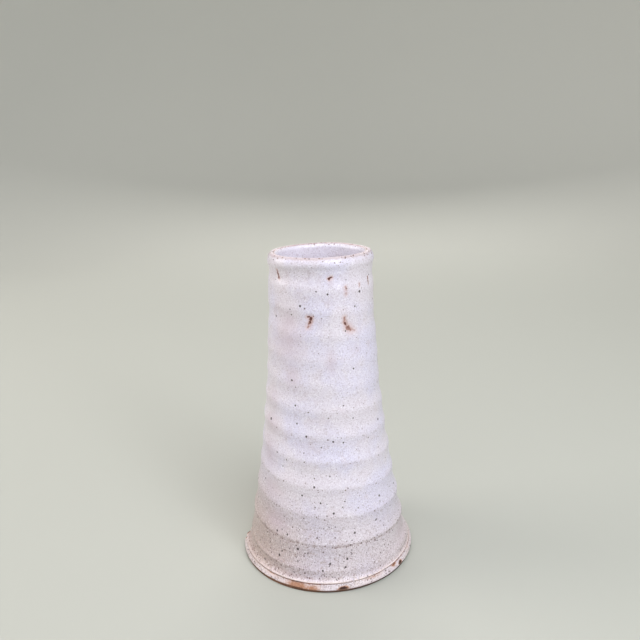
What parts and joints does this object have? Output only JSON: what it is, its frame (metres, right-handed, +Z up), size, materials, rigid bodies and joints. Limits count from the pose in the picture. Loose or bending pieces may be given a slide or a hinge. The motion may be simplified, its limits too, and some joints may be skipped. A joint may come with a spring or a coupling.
{
  "type": "bud vase",
  "caption": "Tall tapered ceramic bud vase with a rolled lip, throwing rings and a flanged, bare foot.",
  "frame": {"origin": "centre of the foot, on the surface that the vase stands on", "axes": "+Z up along the vase's axis towards its mouth; the side towards -Y is the front"},
  "size_m": [0.0918, 0.0918, 0.16],
  "materials": {
    "stoneware": "bare fired clay",
    "slip": "bare fired slip",
    "white_glaze": "satin, speckled",
    "liner_glaze": "satin"
  },
  "bodies": {
    "root": {"base_slab": "stoneware", "slip_seam": "slip", "thrown_wall": "stoneware", "outer_glaze": "white_glaze", "foot_glaze": "white_glaze", "liner_glaze": "liner_glaze"}
  },
  "joints": []
}
